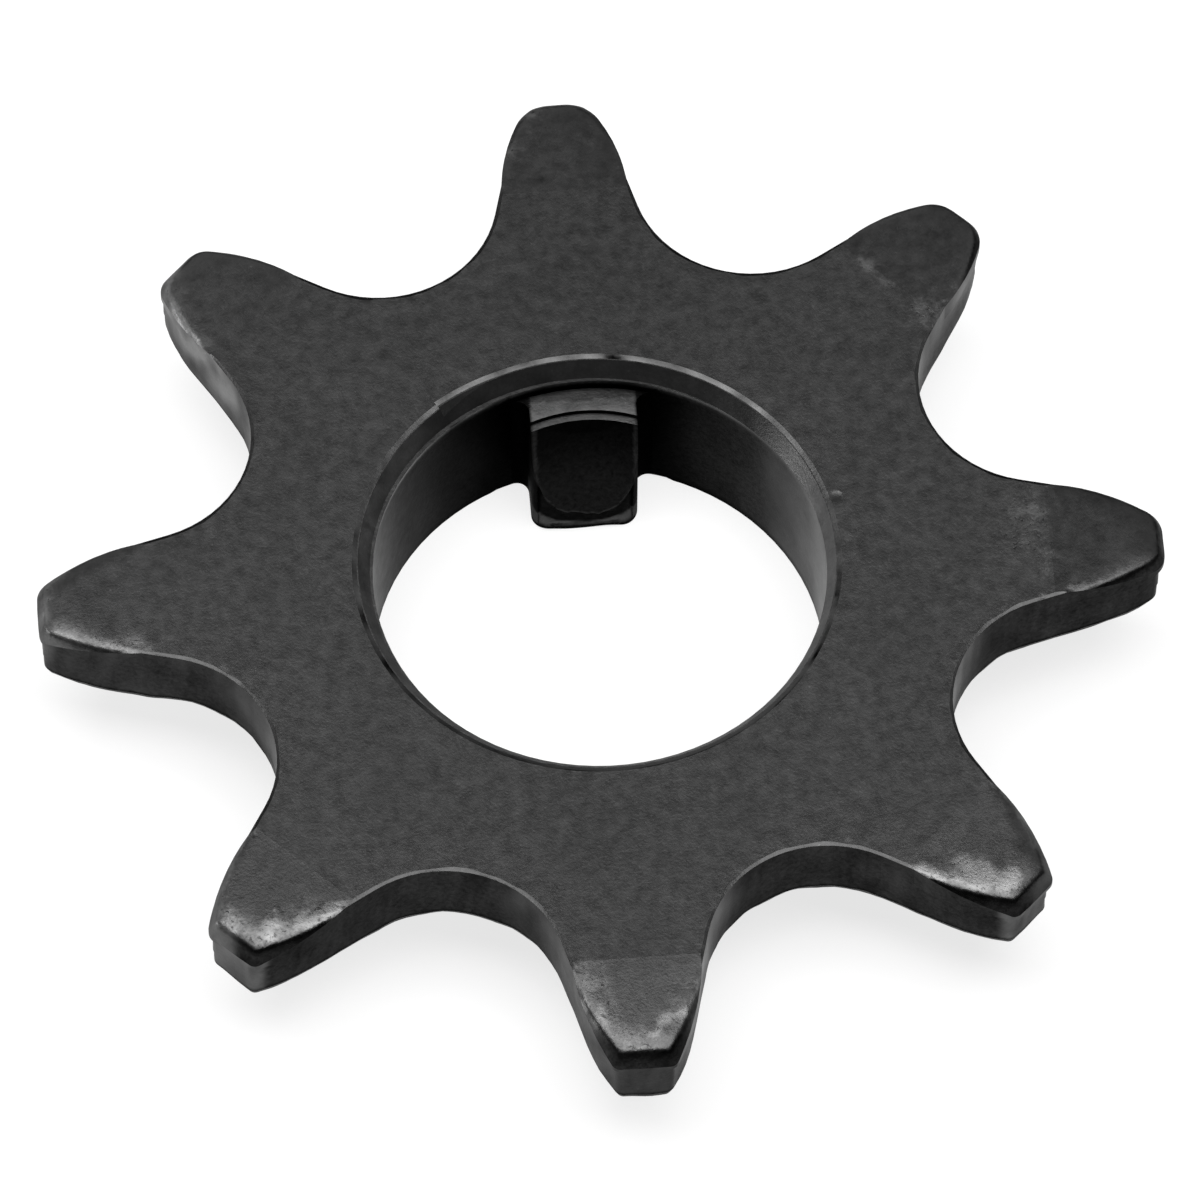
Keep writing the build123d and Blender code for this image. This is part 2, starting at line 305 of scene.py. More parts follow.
def cad_surface():
    """The solid's corners, its triangles and their corners' normals."""
    mesh = sprocket.data
    mesh.calc_loop_triangles()
    corners = np.empty(len(mesh.vertices) * 3)
    mesh.vertices.foreach_get("co", corners)
    triangles = np.array([t.vertices[:] for t in mesh.loop_triangles])
    loops = np.array([t.loops[:] for t in mesh.loop_triangles])
    normals = np.empty(len(mesh.loops) * 3)
    mesh.corner_normals.foreach_get("vector", normals)
    corners = np.round(corners.reshape(-1, 3) / MM, ROUND_TO)
    corners, same = np.unique(corners, axis=0, return_inverse=True)
    triangles = same.reshape(-1)[triangles]
    a, b, c = triangles.T
    whole = (a != b) & (b != c) & (c != a)
    return corners, triangles[whole], normals.reshape(-1, 3)[loops][whole]


def scaled_normals(points, triangles):
    """Each triangle's normal, as long as twice its area."""
    a, b, c = (points[triangles[:, k]] for k in range(3))
    return np.cross(b - a, c - a)


def vertex_normals(points, triangles):
    weighted = scaled_normals(points, triangles)
    total = np.zeros_like(points)
    for k in range(3):
        np.add.at(total, triangles[:, k], weighted)
    return unit(total)


def sides_of(triangles):
    """The three sides of each triangle, each as a sorted pair of points."""
    return np.sort(triangles[:, [[0, 1], [1, 2], [2, 0]]].reshape(-1, 2), axis=1)


def edge_length(middle):
    """How long an edge may be, by where its middle lies."""
    r = np.hypot(middle[:, 0], middle[:, 1])
    z = middle[:, 2]
    tooth, out, across = tooth_place(middle)
    wanted = np.where(z < UNDER_Z - 0.05, COLLAR_EDGE, WALL_EDGE)
    wanted = np.where((r > ROLL_START - 0.5) & (z > 5.0), TIP_EDGE, wanted)
    bore = r < BORE_REACH + 0.1
    wanted = np.where(bore, np.where(z > MOUTH_Z - 1, MOUTH_EDGE, BORE_EDGE), wanted)
    tang = (tooth == TANG_TOOTH) & (np.abs(across) < TANG_WINGS) & (out < 7.7)
    return np.where(tang, TANG_EDGE, wanted)


def halve(points, triangles, normals):
    """Splits every edge that is too long at its middle, over and over."""
    for _ in range(MOST_HALVINGS):
        edges, which = np.unique(sides_of(triangles), axis=0, return_inverse=True)
        ends = points[edges]
        middle = ends.mean(axis=1)
        split = np.linalg.norm(ends[:, 0] - ends[:, 1], axis=1) > edge_length(middle)
        if not split.any():
            break
        new = np.where(split, len(points) + np.cumsum(split) - 1, -1)
        points = np.concatenate([points, middle[split]])
        marks = new[which.reshape(-1)].reshape(-1, 3)
        count = (marks >= 0).sum(axis=1)
        # turn each triangle so that its split edges come first
        first = np.select(
            [count == 1, count == 2],
            [np.argmax(marks >= 0, axis=1), (np.argmin(marks >= 0, axis=1) + 1) % 3],
            0,
        )
        turn = (first[:, None] + np.arange(3)) % 3
        rows = np.arange(len(triangles))[:, None]
        v, m, n = triangles[rows, turn], marks[rows, turn], normals[rows, turn]
        mid = unit(n + np.roll(n, -1, axis=1))
        keep, one, two, three = (count == k for k in range(4))
        # where two edges are split, the four-sided rest is cut along its shorter diagonal
        diagonal_1 = np.linalg.norm(points[v[:, 0]] - points[m[:, 1]], axis=1)
        diagonal_2 = np.linalg.norm(points[m[:, 0]] - points[v[:, 2]], axis=1)
        near, far = two & (diagonal_1 <= diagonal_2), two & (diagonal_1 > diagonal_2)
        corner = {f"v{k}": (v[:, k], n[:, k]) for k in range(3)}
        corner.update({f"m{k}": (m[:, k], mid[:, k]) for k in range(3)})
        pieces = (
            (keep, "v0 v1 v2"), (one, "v0 m0 v2"), (one, "m0 v1 v2"), (two, "m0 v1 m1"),
            (near, "v0 m0 m1"), (near, "v0 m1 v2"), (far, "v0 m0 v2"), (far, "m0 m1 v2"),
            (three, "v0 m0 m2"), (three, "m0 v1 m1"), (three, "m2 m1 v2"), (three, "m0 m1 m2"),
        )
        triangles, normals = (
            np.concatenate([
                np.stack([corner[name][part][some] for name in names.split()], axis=1)
                for some, names in pieces
            ])
            for part in (0, 1)
        )
    return points, triangles, normals


def inside(spots, a, b):
    """Which spots lie within the closed loops of edges from a to b, by counting crossings."""
    result = np.zeros(len(spots), dtype=bool)
    for k in range(0, len(spots), SPOTS_AT_ONCE):
        x, y = (spots[k:k + SPOTS_AT_ONCE, axis, None] for axis in range(2))
        crosses = (a[:, 1] > y) != (b[:, 1] > y)
        rise = np.where(b[:, 1] == a[:, 1], 1e-12, b[:, 1] - a[:, 1])
        at = a[:, 0] + (y - a[:, 1]) * (b[:, 0] - a[:, 0]) / rise
        result[k:k + SPOTS_AT_ONCE] = (crosses & (x < at)).sum(axis=1) % 2 == 1
    return result


def lattice(spacing):
    """Spots in even triangles over the whole plan."""
    rows = np.arange(-PLAN_REACH, PLAN_REACH, spacing * 0.866)
    line = np.arange(-PLAN_REACH, PLAN_REACH, spacing)
    spots = [
        np.stack([line + (k % 2) * spacing / 2, np.full(len(line), y)], axis=1)
        for k, y in enumerate(rows)
    ]
    return np.concatenate(spots)


def plan_tree(points):
    """A search tree over the points' places in plan."""
    tree = kdtree.KDTree(len(points))
    for k, point in enumerate(points):
        tree.insert(Vector((point[0], point[1], 0)), k)
    tree.balance()
    return tree


def away(tree, spots):
    """Distance in plan from each spot to the nearest point of the tree."""
    return np.array([tree.find((s[0], s[1], 0))[2] for s in spots])


def flat_patch(points, triangles, z, up, layers):
    """Fills the opening that the removed flat face left at height z with even triangles."""
    edges, times = np.unique(sides_of(triangles), axis=0, return_counts=True)
    rim = edges[(times == 1) & (np.abs(points[edges][:, :, 2] - z) < ON_PLANE).all(axis=1)]
    used, ends = np.unique(rim, return_inverse=True)
    ends = ends.reshape(-1, 2)
    around = points[used][:, :2]
    start, stop = around[ends[:, 0]], around[ends[:, 1]]
    border = plan_tree(around)
    spots = []
    for spacing, low, high in layers:
        some = lattice(spacing)
        some = some[inside(some, start, stop)]
        gap = away(border, some)
        spots.append(some[(gap > low) & (gap < high)])
    spots = np.concatenate(spots)
    plan = np.concatenate([around, spots])
    flat_points = [Vector(p) for p in plan]
    _, _, made, origins, _, _ = delaunay_2d_cdt(flat_points, ends.tolist(), [], 0, 1e-7)
    # back from the points that it returns to the ones that it was given
    home = np.array([origin[0] if origin else -1 for origin in origins])
    faces = home[np.array(made)]
    faces = faces[(faces >= 0).all(axis=1)]
    faces = faces[inside(plan[faces].mean(axis=1), start, stop)]
    a, b, c = (plan[faces[:, k]] for k in range(3))
    turn = (b[:, 0] - a[:, 0]) * (c[:, 1] - a[:, 1]) - (b[:, 1] - a[:, 1]) * (c[:, 0] - a[:, 0])
    solid = np.abs(turn) > 1e-9
    faces = faces[solid]
    wrong = (turn[solid] > 0) != up
    faces[wrong] = faces[wrong][:, ::-1]
    ids = np.concatenate([used, len(points) + np.arange(len(spots))])
    added = np.column_stack([spots, np.full(len(spots), z)])
    normals = np.zeros((len(faces), 3, 3))
    normals[:, :, 2] = 1 if up else -1
    return np.concatenate([points, added]), ids[faces], normals


def outline_tree(points, triangles):
    """The upper outline of the tooth ring: where its walls end under the rolled or worn edge."""
    rises = np.repeat(unit(scaled_normals(points, triangles))[:, 2], 3)
    edges, which = np.unique(sides_of(triangles), axis=0, return_inverse=True)
    which = which.reshape(-1)
    wall = np.zeros(len(edges), dtype=bool)
    roof = np.zeros(len(edges), dtype=bool)
    wall[which[np.abs(rises) < UPRIGHT]] = True
    roof[which[rises > 2 * UPRIGHT]] = True
    ends = points[edges[wall & roof]]
    on_teeth = np.hypot(ends[:, 0, 0], ends[:, 0, 1]) > COLLAR_REACH + 0.7
    ends = ends[on_teeth & (ends[:, 0, 2] > UNDER_Z + 1)]
    steps = np.linspace(0, 1, 8)[:, None, None]
    samples = (ends[:, 0] * (1 - steps) + ends[:, 1] * steps).reshape(-1, 3)
    return plan_tree(samples)


def dense_surface():
    """The solid's surface in small triangles, with its own normals at their corners."""
    points, triangles, normals = cad_surface()
    z = points[triangles][:, :, 2]
    rise = unit(scaled_normals(points, triangles))[:, 2]
    kept = np.ones(len(triangles), dtype=bool)
    for height, up, _ in FLAT_FACES:
        level = (rise > LEVEL) if up else (rise < -LEVEL)
        kept &= ~(level & (np.abs(z - height) < ON_PLANE).all(axis=1))
    points, curved, normals = halve(points, triangles[kept], normals[kept])
    parts, part_normals = [curved], [normals]
    for height, up, layers in FLAT_FACES:
        points, faces, straight = flat_patch(points, curved, height, up, layers)
        parts.append(faces)
        part_normals.append(straight)
    outline = outline_tree(points, curved)
    return points, np.concatenate(parts), np.concatenate(part_normals), outline


# ---------------------------------------------------------------- wear in the shape
TORN_REACH = 0.45            # how far in from the wall the torn lower edge goes
FARTHEST_GAP = 3.0           # distances to the outline are measured up to here
GOUGES = 9                   # on each tooth
DENTS = (                    # x, y, half length, half width, direction, depth
    (8.25, 2.22, 0.42, 0.10, -5, 0.035),
    (8.75, 0.45, 0.40, 0.07, -5, 0.022),
    (8.15, 4.4, 0.12, 0.10, 20, 0.02),
    (-11.2, -1.5, 0.12, 0.10, 60, 0.02),
    (-9.9, -8.7, 0.14, 0.09, 10, 0.018),
    (6.1, -8.6, 0.10, 0.08, 0, 0.015),
)


def measure(points, outline):
    """The places of the points, in all the measures that the wear is worked out from."""
    x, y, z = points.T
    r = np.hypot(x, y)
    gap = np.minimum(away(outline, points[:, :2]), FARTHEST_GAP)
    tooth, out, across = tooth_place(points)
    return SimpleNamespace(
        points=points, x=x, y=y, z=z, r=r, gap=gap, tooth=tooth, out=out, across=across
    )


def measure_corners(spots, triangles, normals):
    """The same for each corner of the triangles, with the way it faces there."""
    at = triangles.reshape(-1)
    corners = SimpleNamespace(**{name: values[at] for name, values in vars(spots).items()})
    corners.facing = normals.reshape(-1, 3)
    corners.rise = corners.facing[:, 2]
    return corners


def on_plate(s):
    return (s.r > COLLAR_REACH) & (s.z > UNDER_Z - 0.01)


def on_tang(s):
    return (np.abs(s.x) < TANG_HALF + 0.02) & (s.y < 7.35) & (s.y > 0) & (s.r < BORE_REACH)


def ledge_height(s):
    """The height at which the tang's front broke away, bowed and uneven."""
    along = s.points * (1, 0, 0)
    uneven = 0.16 * wobble(along, 1.3, 17) + 0.06 * wobble(along, 0.5, 43)
    return TANG_BREAK_Z + TANG_BREAK_BEND * s.x ** 2 + uneven


def rough_walls(s, moved, outward):
    """Tears the blanked wall's lower edge, and lays faint upright shear marks on the wall."""
    plate = on_plate(s)
    torn = plate * smooth(TORN_REACH - s.gap, 0, 0.2)
    torn = torn * (1 - smooth(s.z, UNDER_Z + 0.1, UNDER_Z + 0.9))
    tear = 0.038 * wobble(s.points * UPRIGHT_STREAKS, 1.8, 11) + 0.022 * wobble(s.points, 0.8, 12)
    moved[:, 2] += torn * tear
    moved += outward * (torn * 0.014 * wobble(s.points, 0.9, 10))[:, None]
    wall = plate * (1 - smooth(s.gap, 0, 0.1)) * between(s.z, UNDER_Z + 0.3, 6.0, 0.25)
    marks = 0.0028 * wobble(s.points * (1, 1, 0.12), 0.5, 13) + 0.006 * wobble(s.points, 2.2, 14)
    moved += outward * (wall * marks)[:, None]


def nick_upper_edge(s, moved, outward):
    """Nicks the upper edge of the teeth, and rubs it unevenly."""
    crown = on_plate(s) * between(s.gap, 0.05, 0.16, 0.05) * smooth(s.z, 6.15, 6.25)
    nick = np.maximum(wobble(s.points, 0.45, 15) - 0.55, 0)
    moved[:, 2] -= crown * np.minimum(0.02 * nick, 0.02)
    moved -= outward * (crown * 0.03 * wobble(s.points, 0.8, 16))[:, None]


def gouge_tips(s, moved):
    """Small gouges in the worn ends of the teeth."""
    rng = np.random.default_rng(21)
    for tooth in range(TEETH):
        for _ in range(GOUGES):
            u, v = rng.uniform(15.6, 18.5), rng.uniform(-2.2, 2.2)
            size, deep = rng.uniform(0.06, 0.11), rng.uniform(0.002, 0.006)
            near = (np.abs(s.out - u) < 0.6) & (np.abs(s.across - v) < 0.6)
            near &= (s.tooth == tooth) & (s.z > 5.2) & (s.gap > 0.12)
            moved[near, 2] -= deep * bump_at(s.out[near] - u, s.across[near] - v, size, size * 0.6)


def dent_face(s, moved):
    """Dents in the flat face, each with a low rim pushed up round it."""
    for x, y, half_long, half_wide, turn, deep in DENTS:
        a = math.radians(turn)
        dx, dy = s.x - x, s.y - y
        along, aside = dx * math.cos(a) + dy * math.sin(a), dy * math.cos(a) - dx * math.sin(a)
        far2 = (along / half_long) ** 2 + (aside / half_wide) ** 2
        rim = np.exp(-((np.sqrt(far2) - 1.5) / 0.5) ** 2)
        moved[:, 2] -= deep * (np.exp(-far2) - 0.45 * rim) * (s.z > FACE_Z - 0.02)


def break_tang(s, moved):
    """Steps the tang's front back below the ledge, and tears its bottom edge."""
    front = (s.tooth == TANG_TOOTH) & (np.abs(s.x) < TANG_HALF) & (s.y < TANG_FRONT_Y + 0.16)
    ledge = ledge_height(s)
    back = front * (1 - smooth(s.z, ledge - 0.16, ledge)) * smooth(s.z, 0.12, 0.32)
    moved[:, 1] += back * (0.09 + 0.02 * wobble(s.points, 0.7, 18))
    end = (s.r < 8.2) & (s.z < 0.6) & (s.tooth == TANG_TOOTH)
    moved[:, 2] += end * (1 - smooth(s.z, 0, 0.6)) * 0.04 * (1 + wobble(s.points, 0.9, 19))


def worn_points(s):
    """The points moved by the part's wear and by the roughness of its blanked edges."""
    moved = s.points.copy()
    outward = s.points * (1, 1, 0) / np.maximum(s.r, 1e-6)[:, None]
    rough_walls(s, moved, outward)
    nick_upper_edge(s, moved, outward)
    gouge_tips(s, moved)
    dent_face(s, moved)
    break_tang(s, moved)
    moved[:, 2] = np.clip(moved[:, 2], FOOT_Z, FACE_Z)
    return moved


# ---------------------------------------------------------------- wear, painted light and painted shade in the shading
# Rubbed bare, with a painted highlight, along the rolled edges: tooth, side of the tooth, how far out it
# starts and ends, how far in from the outline it starts and ends, and how bright.
LOBES = (
    (6, 1, 15.7, 18.6, 0.40, 0.95, 0.30),
    (6, -1, 14.9, 18.5, 0.30, 1.00, 0.42),
    (7, -1, 15.2, 16.4, 0.10, 0.35, 0.90),
    (7, -1, 16.2, 17.6, 0.38, 0.90, 0.90),
    (7, -1, 15.6, 17.7, 0.25, 1.30, 0.40),
    (5, 1, 15.4, 16.8, 0.10, 0.45, 0.85),
    (5, 1, 16.8, 18.2, 0.40, 0.90, 0.60),
    (5, 1, 15.6, 18.3, 0.30, 1.30, 0.35),
    (5, -1, 17.6, 18.4, 0.30, 0.80, 0.60),
    (5, -1, 16.6, 18.5, 0.08, 0.40, 0.45),
    (4, 1, 15.0, 17.2, 0.05, 0.45, 0.48),
    (4, 1, 16.6, 18.9, 0.05, 0.75, 0.28),
    (4, -1, 18.0, 18.8, 0.05, 0.50, 0.35),
    (2, 1, 16.5, 18.6, 0.10, 0.60, 0.25),
    (0, -1, 15.4, 17.4, 0.05, 0.28, 0.26),
)

# Rubbed patches with a painted highlight on the face: tooth, how far out and across, half length, half
# width, how bright.
PATCHES = (
    (7, 16.80, -0.90, 0.50, 0.34, 1.50),
    (7, 17.40, -0.62, 0.50, 0.45, 2.00),
    (7, 17.95, -0.28, 0.38, 0.40, 1.90),
    (7, 17.85, -0.66, 0.24, 0.20, 0.80),
    (6, 17.40, 0.85, 0.35, 0.38, 1.45),
    (6, 17.15, 1.30, 0.32, 0.28, 1.20),
    (6, 17.80, 0.35, 0.28, 0.40, 0.95),
    (6, 17.62, 0.60, 0.24, 0.24, 0.75),
    (6, 18.38, -0.10, 0.10, 0.80, 0.70),
    (6, 17.20, -1.30, 0.60, 0.22, 0.80),
    (5, 17.56, 0.65, 0.42, 0.36, 1.70),
    (5, 17.15, 0.95, 0.28, 0.22, 0.60),
    (5, 16.75, 1.25, 0.50, 0.30, 1.00),
    (5, 15.60, 1.90, 0.45, 0.20, 0.80),
    (5, 17.95, -1.30, 0.35, 0.40, 0.50),
    (5, 18.20, -0.30, 0.22, 0.45, 0.55),
    (4, 17.50, 0.90, 0.75, 0.20, 0.35),
    (4, 18.75, 0.15, 0.22, 0.40, 0.35),
    (4, 16.20, 1.40, 0.55, 0.20, 0.50),
    (4, 15.60, 1.70, 1.00, 0.35, 0.60),
    (4, 11.60, -1.20, 0.90, 0.80, 0.16),
    (3, 18.20, 0.90, 0.50, 0.40, 0.40),
    (2, 18.35, 0.95, 0.25, 0.45, 0.80),
    (2, 17.00, 1.60, 0.80, 0.20, 0.60),
    (1, 15.10, 1.05, 0.34, 0.42, 1.05),
    (1, 14.90, 0.00, 0.30, 0.60, 0.55),
    (1, 15.00, -1.90, 0.50, 0.80, 0.75),
    (0, 14.50, 0.90, 0.60, 1.20, 0.78),
    (0, 14.90, -0.60, 0.35, 0.90, 0.66),
    (0, 13.70, 0.10, 0.60, 1.10, 0.45),
    (6, 9.60, 0.60, 0.70, 2.60, 0.10),
)

# Darker patches on the teeth: tooth, how far out and across, half length, half width, how dark.
SHADOWS = (
    (7, 18.75, 0.45, 0.45, 0.80, 0.40),
    (7, 17.20, 2.00, 1.00, 0.50, 0.15),
    (6, 15.30, 0.00, 0.30, 3.00, 0.10),
    (5, 15.30, 0.00, 0.30, 3.00, 0.10),
    (0, 18.30, 0.00, 0.60, 1.20, 0.14),
    (1, 17.20, -0.60, 0.90, 1.20, 0.10),
    (2, 17.60, -0.30, 0.90, 1.00, 0.12),
    (2, 15.60, 0.75, 0.12, 0.12, 0.40),
)

# The same anywhere on the flat face: x, y, radius, how dark.
FACE_SHADOWS = (
    (-1.0, -11.5, 5.5, 0.09),
    (-7.0, -9.5, 4.0, 0.05),
    (1.0, 11.5, 5.5, 0.09),
)

# Painted light and shade for each tooth, from +X on: how bright the slope of its rolled face is
# against the flat face, then the steep edge on its clockwise flank, on that half of the tip, on the other
# half and on the other flank, and last the painted light on the wall at its tip against the wall of the
# flanks.
SLOPE_PAINTED_SHADING = np.array((0.88, 1.04, 1.02, 1.08, 0.94, 0.80, 0.87, 0.92))
EDGE_PAINTED_SHADING = np.array((
    (0.40, 0.35, 0.40, 0.40),
    (0.40, 0.20, 0.25, 0.45),
    (0.40, 0.45, 0.50, 0.50),
    (0.40, 0.20, 1.60, 3.30),
    (0.80, 1.20, 1.70, 0.80),
    (1.50, 1.70, 0.25, 0.20),
    (1.35, 0.35, 0.20, 1.30),
    (0.18, 0.20, 0.90, 1.50),
))
TIP_WALL_PAINTED_LIGHT = np.array((1.4, 1.8, 1.5, 1.9, 2.0, 4.4, 2.3, 4.6))
# the flanks' wall is darker than the face: a darker blanked wall, and partly painted shade
WALL_TONE = 0.30             # the flanks' wall against the flat face


def rubbed_and_highlight_at(s):
    """How far the steel is rubbed to bare metal and painted with a highlight: 0 not at all, 1 and more
    fully.
    """
    wear_and_highlight = np.zeros(len(s.gap))
    for tooth, side, start, stop, inner, outer, strength in LOBES:
        across = s.across * side
        here = (s.tooth == tooth) * smooth(across, -0.35, 0.2)
        band = between(s.out, start + 0.35, stop, 0.45) * between(s.gap, inner, outer, 0.28)
        wear_and_highlight = np.maximum(wear_and_highlight, here * band * strength)
    # the patches' borders wander, and neighbours run into each other
    place = np.column_stack([s.out, s.across, 10.0 * s.tooth])
    out = s.out + 0.13 * wobble(place, 0.9, 51) + 0.05 * wobble(place, 0.35, 53)
    across = s.across + 0.11 * wobble(place, 0.8, 52) + 0.05 * wobble(place, 0.3, 54)
    for tooth, u, v, half_long, half_wide, strength in PATCHES:
        patch = (s.tooth == tooth) * strength * bump_at(out - u, across - v, half_long, half_wide)
        wear_and_highlight = (wear_and_highlight ** 4 + patch ** 4) ** 0.25
    # the rubbed places and their painted highlight keep to the faces, and on teeth 2 to 4 run down the
    # steep edges too
    far_teeth = (s.tooth >= 2) & (s.tooth <= 4)
    on_slope = np.where(far_teeth, smooth(s.rise, 0.2, 0.4), smooth(s.rise, 0.8, 0.9))
    return wear_and_highlight * on_slope


def face_tone(s, plate):
    """The flat and the rolled faces: painted light and shade on each tooth's rolled face, and the darker
    patches of the shadow tables.
    """
    rolled = plate * smooth(s.rise, 0.5, 0.8)
    rolled = rolled * smooth(s.out, ROLL_START - 0.02, ROLL_START + 0.01) * smooth(FACE_Z - s.z, 0, 0.002)
    # painted light and shade on the rolled face, tooth by tooth
    tone = 1 + rolled * (SLOPE_PAINTED_SHADING[s.tooth] - 1)
    for x, y, radius, strength in FACE_SHADOWS:
        tone *= 1 - (s.z > FACE_Z - 0.02) * strength * bump_at(s.x - x, s.y - y, radius, radius)
    for tooth, u, v, half_long, half_wide, strength in SHADOWS:
        here = plate * (s.tooth == tooth) * (s.rise > 0.7)
        tone *= 1 - here * strength * bump_at(s.out - u, s.across - v, half_long, half_wide)
    return tone


def wall_tone(s):
    """Walls: dark, with painted light at the tips and where they look sideways, less towards the foot,
    and dark in the torn zone.
    """
    # painted light on the tip walls, tooth by tooth
    tip = smooth(s.out, 18.25, 18.55)
    shade = WALL_TONE * (1 + tip * (TIP_WALL_PAINTED_LIGHT[s.tooth] - 1))
    calm = 1 - 0.6 * smooth(s.facing[:, 1], 0, 0.4)
    blotches = 0.16 * wobble(s.points, 1.6, 31)
    streaks = 0.10 * wobble(s.points * UPRIGHT_STREAKS, 0.4, 32)
    shade *= 1 + calm * (blotches + streaks)
    # painted light on walls that look sideways and on tooth 3's flank, less towards the foot
    west, east = -s.facing[:, 0], s.facing[:, 0]
    on_tooth = smooth(s.out, 13.2, 14.6)
    sideways = 3.2 * smooth(west, 0.38, 1.0) + 7.5 * smooth(east, 0.6, 1.0) * smooth(s.z, 3.9, 5.7)
    flank = on_tooth * (s.tooth == 3) * smooth(s.across, 0, 0.8)
    sideways += 7.5 * flank * (1 - smooth(west, 0.93, 1.0))
    sideways *= 1 + 0.24 * calm * wobble(s.points, 1.1, 42)
    shade *= 1 + sideways * (0.35 + 0.65 * smooth(s.z, 3.8, 5.4)) * (1 - 0.7 * tip)
    # painted light on tooth 4's walls
    shade *= 1 + 0.55 * on_tooth * (s.tooth == 4)
    torn = 1 - smooth(s.z + 0.03 * wobble(s.points, 0.6, 40), 3.60, 3.74)
    return shade * (1 - 0.85 * torn)


def edge_tone(s, plate):
    """Painted light and shade on the steep edge of the rolled faces, tooth by tooth, painted shade in its
    crease, and painted shade on the narrow edge break where nothing is rolled.
    """
    # painted light and shade on the steep edges, tooth by tooth
    edge = EDGE_PAINTED_SHADING[s.tooth]
    to_tip = smooth(s.out, 16.9, 18.2)
    side = smooth(s.across, -0.6, 0.6)
    flank = edge[:, 0] * (1 - side) + edge[:, 3] * side
    end = edge[:, 1] * (1 - side) + edge[:, 2] * side
    factor = flank * (1 - to_tip) + end * to_tip
    factor *= 1 + 0.15 * wobble(s.points, 0.7, 33)
    bright = factor > 1
    flattest = np.where(bright, 1 - smooth(s.rise, 0.90, 0.985), 1 - smooth(s.rise, 0.78, 0.92))
    factor = np.where(bright, factor * (1 + 0.7 * between(s.rise, 0.75, 0.93, 0.08)), factor)
    steep = plate * smooth(s.rise, 0.12, 0.2) * flattest * (s.z < FACE_Z - 0.02)
    on_roll = smooth(s.out, ROLL_START - 0.1, ROLL_START + 0.4)
    tone = 1 + steep * on_roll * (factor - 1)
    # painted shade in the crease where the edge is not brightened
    crease = plate * between(s.rise, 0.1, 0.35, 0.1) * smooth(s.out, 16.0, 16.6)
    tone *= 1 - 0.6 * crease * np.clip(1 - factor, 0, 1)
    # painted shade on the edge break: dark where it looks to +Y, a fainter streak where to -Y
    brow = plate * between(s.rise, 0.3, 0.95, 0.03) * (s.gap < 0.14) * (s.z > 6.0) * (1 - on_roll)
    return tone * (1 - brow * (0.3 + 0.45 * smooth(s.facing[:, 1], -0.1, 0.3)))


def bore_tone(s, off_tang, east, west):
    """The bore's wall: painted shade, black beside the tang and at its foot, and painted light towards
    both sides.
    """
    # painted light towards both sides
    right = smooth(off_tang, 44, 100) * east
    left = smooth(off_tang, 58, 100) * west
    lit = 0.36 + 2.9 * right + 1.9 * left
    lit *= 1 + 0.16 * wobble(s.points * (1, 1, 0.5), 1.8, 34) + 0.07 * wobble(s.points, 0.4, 35)
    # painted shade beside the tang
    lit *= 1 - 0.97 * (1 - smooth(off_tang, 16, np.where(s.x < 0, 82, 62)))
    # painted shade at the foot
    return lit * (1 - 0.93 * between(s.z, -0.1, 0.12, 0.1))


def mouth_tone(s, cone, off_tang, east, west):
    """The countersink with painted light, the painted highlight on the lip at its foot, and the bevel
    round its edge, uneven and with painted shade at its front and back.
    """
    # painted light on the countersink, away from the tang and by side
    glow = (2.0 - 0.9 * east) * smooth(off_tang, 40, 95) + 2.0 * west * between(off_tang, 52, 72, 14)
    glow *= 1 - 0.8 * west * smooth(off_tang, 70, 92)
    tone = 1 + cone * (0.25 + 0.3 * east + 0.15 * wobble(s.points, 0.9, 36) + glow)
    from_axis = np.hypot(s.x - BORE_CENTRE[0], s.y - BORE_CENTRE[1])
    # painted highlight on the lip at the countersink's foot
    lip = cone * between(from_axis, 7.55, 7.68, 0.04) * (0.5 + 0.5 * wobble(s.points, 0.9, 41))
    tone *= 1 + lip * (1 - 0.6 * smooth(off_tang, 60, 100)) * (1 - 0.8 * east)
    # the bevel: uneven tone, with painted shade at its front and back
    bevel = (s.r > 7.9) * (s.r < 8.9) * (s.z > 6.2) * between(s.rise, 0.90, 0.97, 0.02)
    front, back = smooth(-s.y, -1, 3), smooth(s.y, 6, 8)
    return tone * (1 + bevel * (0.35 * wobble(s.points, 1.1, 38) - 0.08 - 0.32 * front - 0.16 * back))


def tang_tone(s, tone):
    """The tang: painted shade, black in its hollow, under the step of its broken front and at its foot,
    with a grey strip above the foot; lighter on top; painted shade in the fillets beside it.
    """
    aside = np.abs(s.x)
    tang = on_tang(s)
    top_side = (s.rise >= 0.5) & (s.z < TANG_TOP_Z)
    ledge = ledge_height(s)
    above = smooth(s.z, ledge - 0.05, ledge + 0.1)
    # painted shade on the hollow front above the ledge: near black, a little lighter low down and by its
    # sides
    hollow = 0.04 + 0.08 * smooth(4.6 - s.z, 0, 2.6) + 0.20 * between(aside, 1.66, 1.76, 0.05)
    # painted shadow under the ledge's step, down to a grey strip above the foot, and painted shade at the
    # foot
    broken = between(s.z, 0.32 + 0.22 * s.x * s.x, ledge - 0.05, 0.12)
    front = hollow * above + 0.8 * (1 - above) * (1 - 0.93 * broken)
    front *= 1 - 0.95 * between(s.z, -0.1, 0.14, 0.1)
    tone = np.where(tang & (s.rise < 0.5), front, tone)
    top = 1.75 + 0.9 * smooth(6.9 - s.y, -0.25, 0.1) * (s.z > 5.15) + 0.15 * wobble(s.points, 0.5, 39)
    tone = np.where(tang & top_side, top, tone)
    # painted shade in the fillets beside the tang
    wing = (aside > TANG_HALF - 0.04) & (aside < TANG_WINGS) & (s.y > 6.3) & (s.r < 7.8) & top_side
    return np.where(wing, 0.15, tone)


